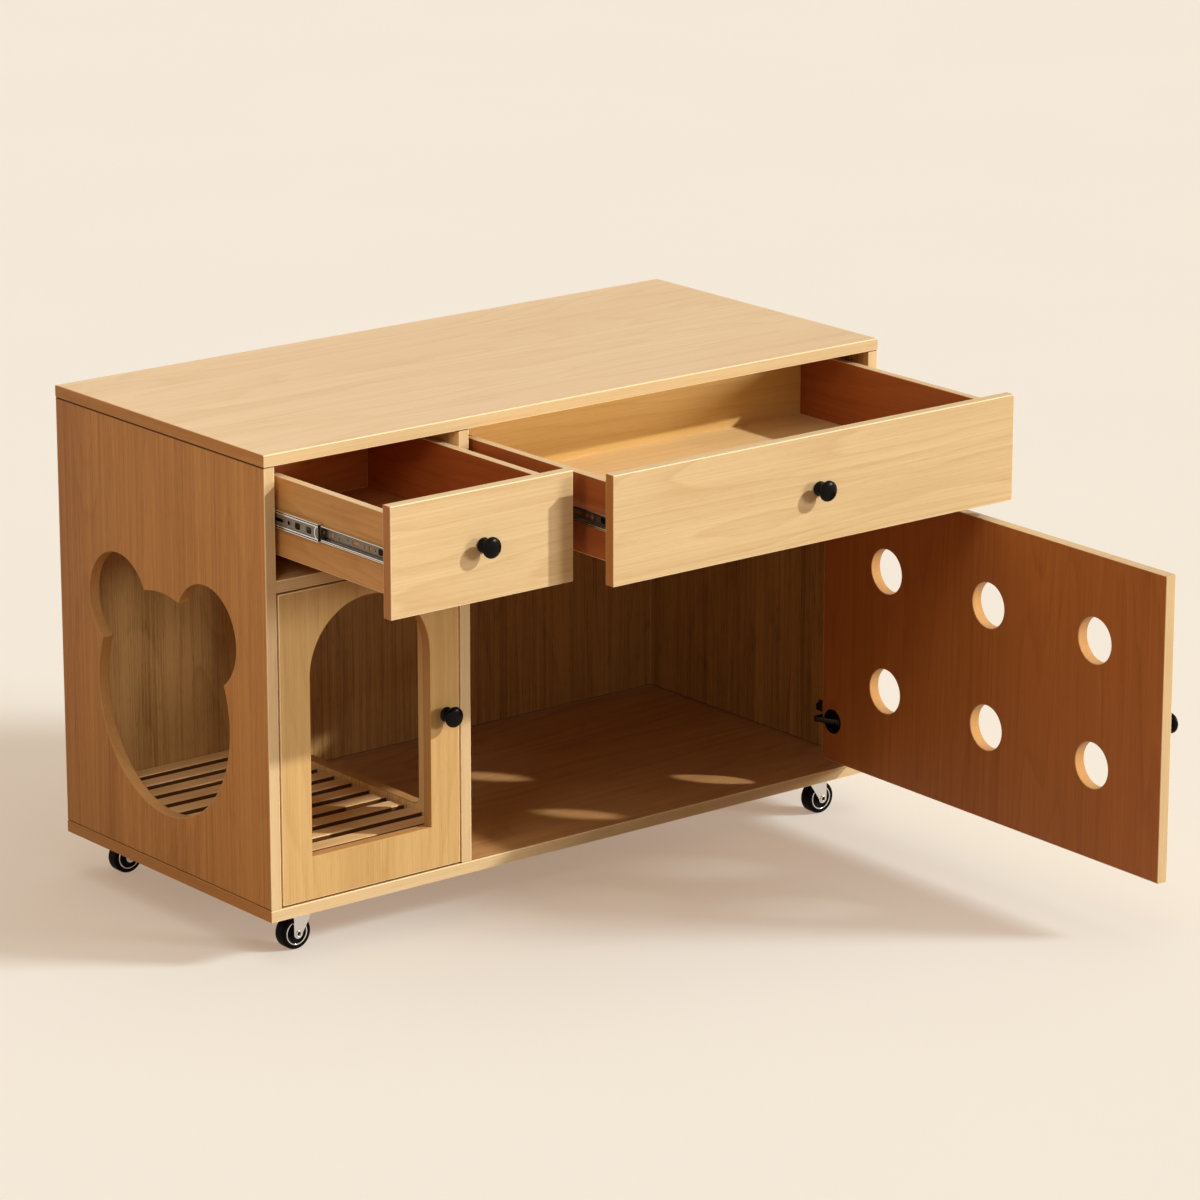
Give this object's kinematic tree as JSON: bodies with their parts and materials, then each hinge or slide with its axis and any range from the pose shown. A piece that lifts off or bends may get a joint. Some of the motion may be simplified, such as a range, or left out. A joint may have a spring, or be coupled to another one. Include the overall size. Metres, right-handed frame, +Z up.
{
  "type": "cat litter box cabinet",
  "caption": "Wooden litter box cabinet on swivel casters with drawers, an arched entrance door, a vented door, a slatted platform and a bear-head opening in its side.",
  "frame": {"origin": "on the floor, under the middle of the bounding box of the object as it stands at rest, with its right door and drawers open", "axes": "+Z up, square to the top face; +Y towards the back, along the longest extent at rest; +X towards the right side as seen from the front"},
  "size_m": [1.14, 1.2392, 0.755],
  "materials": {
    "oak_board": "light oak veneer, satin lacquer",
    "oak_top": "light oak veneer, satin lacquer",
    "oak_inner": "light oak veneer, matt lacquer",
    "drawer_board": "light oak veneer, matt lacquer",
    "zinc_steel": "bright zinc plate",
    "black_knob": "gloss black",
    "black_cup": "satin black",
    "black_wheel": "satin black rubber"
  },
  "bodies": {
    "carcass": {"top_panel": "oak_top", "base_panel": "oak_board", "left_side_panel": "oak_board", "right_side_panel": "oak_board", "back_panel": "oak_inner", "divider_panel": "oak_inner", "left_shelf": "oak_board", "right_shelf": "oak_board", "slat_platform": "oak_board", "left_hinge_arm_lower": "zinc_steel", "left_hinge_arm_upper": "zinc_steel", "right_hinge_arm_lower": "zinc_steel", "right_hinge_arm_upper": "zinc_steel", "left_drawer_slide_left_outer": "zinc_steel", "left_drawer_slide_right_outer": "zinc_steel", "right_drawer_slide_left_outer": "zinc_steel", "right_drawer_slide_right_outer": "zinc_steel", "front_left_caster_plate": "zinc_steel", "front_right_caster_plate": "zinc_steel", "back_left_caster_plate": "zinc_steel", "back_right_caster_plate": "zinc_steel"},
    "left_drawer": {"left_drawer_front": "oak_board", "left_drawer_side_left": "drawer_board", "left_drawer_side_right": "drawer_board", "left_drawer_back": "drawer_board", "left_drawer_bottom": "drawer_board", "left_drawer_knob": "black_knob", "left_drawer_slide_left_inner": "zinc_steel", "left_drawer_slide_right_inner": "zinc_steel"},
    "left_slide_rails": {"left_drawer_slide_left_middle": "zinc_steel", "left_drawer_slide_right_middle": "zinc_steel"},
    "left_door": {"left_door": "oak_board", "left_door_knob": "black_knob", "left_hinge_cup_lower": "black_cup", "left_hinge_cup_upper": "black_cup"},
    "right_drawer": {"right_drawer_front": "oak_board", "right_drawer_side_left": "drawer_board", "right_drawer_side_right": "drawer_board", "right_drawer_back": "drawer_board", "right_drawer_bottom": "drawer_board", "right_drawer_knob": "black_knob", "right_drawer_slide_left_inner": "zinc_steel", "right_drawer_slide_right_inner": "zinc_steel"},
    "right_slide_rails": {"right_drawer_slide_left_middle": "zinc_steel", "right_drawer_slide_right_middle": "zinc_steel"},
    "right_door": {"right_door": "oak_board", "right_door_knob": "black_knob", "right_hinge_cup_lower": "black_cup", "right_hinge_cup_upper": "black_cup"},
    "front_left_fork": {"front_left_caster_fork": "zinc_steel"},
    "front_left_wheel": {"front_left_caster_wheel": "black_wheel"},
    "front_right_fork": {"front_right_caster_fork": "zinc_steel"},
    "front_right_wheel": {"front_right_caster_wheel": "black_wheel"},
    "back_left_fork": {"back_left_caster_fork": "zinc_steel"},
    "back_left_wheel": {"back_left_caster_wheel": "black_wheel"},
    "back_right_fork": {"back_right_caster_fork": "zinc_steel"},
    "back_right_wheel": {"back_right_caster_wheel": "black_wheel"}
  },
  "joints": [
    {"name": "left_drawer_slide", "type": "slide", "parent": "carcass", "child": "left_drawer", "axis": [0, -1, 0], "range_m": [-0.268, 0.132]},
    {"name": "left_rails_slide", "type": "slide", "parent": "carcass", "child": "left_slide_rails", "axis": [0, -1, 0], "range_m": [-0.134, 0.066]},
    {"name": "right_drawer_slide", "type": "slide", "parent": "carcass", "child": "right_drawer", "axis": [0, -1, 0], "range_m": [-0.328, 0.072]},
    {"name": "right_rails_slide", "type": "slide", "parent": "carcass", "child": "right_slide_rails", "axis": [0, -1, 0], "range_m": [-0.164, 0.036]},
    {"name": "left_door_hinge", "type": "hinge", "parent": "carcass", "child": "left_door", "pos_m": [-0.514, 0.10256, 0.3175], "axis": [0, 0, -1], "range_deg": [0, 95]},
    {"name": "right_door_hinge", "type": "hinge", "parent": "carcass", "child": "right_door", "pos_m": [0.514, 0.10256, 0.3175], "axis": [0, 0, 1], "range_deg": [-89, 6]},
    {"name": "front_left_swivel", "type": "hinge", "parent": "carcass", "child": "front_left_fork", "pos_m": [-0.48, 0.13756, 0.057], "axis": [0, 0, 1], "continuous": true},
    {"name": "front_left_wheel_spin", "type": "hinge", "parent": "front_left_fork", "child": "front_left_wheel", "pos_m": [-0.5, 0.13756, 0.025], "axis": [0, 1, 0], "continuous": true},
    {"name": "front_right_swivel", "type": "hinge", "parent": "carcass", "child": "front_right_fork", "pos_m": [0.48, 0.13756, 0.057], "axis": [0, 0, 1], "continuous": true},
    {"name": "front_right_wheel_spin", "type": "hinge", "parent": "front_right_fork", "child": "front_right_wheel", "pos_m": [0.5, 0.13756, 0.025], "axis": [0, 1, 0], "continuous": true},
    {"name": "back_left_swivel", "type": "hinge", "parent": "carcass", "child": "back_left_fork", "pos_m": [-0.48, 0.57156, 0.057], "axis": [0, 0, 1], "continuous": true},
    {"name": "back_left_wheel_spin", "type": "hinge", "parent": "back_left_fork", "child": "back_left_wheel", "pos_m": [-0.5, 0.57156, 0.025], "axis": [0, 1, 0], "continuous": true},
    {"name": "back_right_swivel", "type": "hinge", "parent": "carcass", "child": "back_right_fork", "pos_m": [0.48, 0.57156, 0.057], "axis": [0, 0, 1], "continuous": true},
    {"name": "back_right_wheel_spin", "type": "hinge", "parent": "back_right_fork", "child": "back_right_wheel", "pos_m": [0.5, 0.57156, 0.025], "axis": [0, 1, 0], "continuous": true}
  ],
  "couplings": [
    {"joint": "left_rails_slide", "follows": "left_drawer_slide", "ratio": 0.5},
    {"joint": "right_rails_slide", "follows": "right_drawer_slide", "ratio": 0.5}
  ]
}
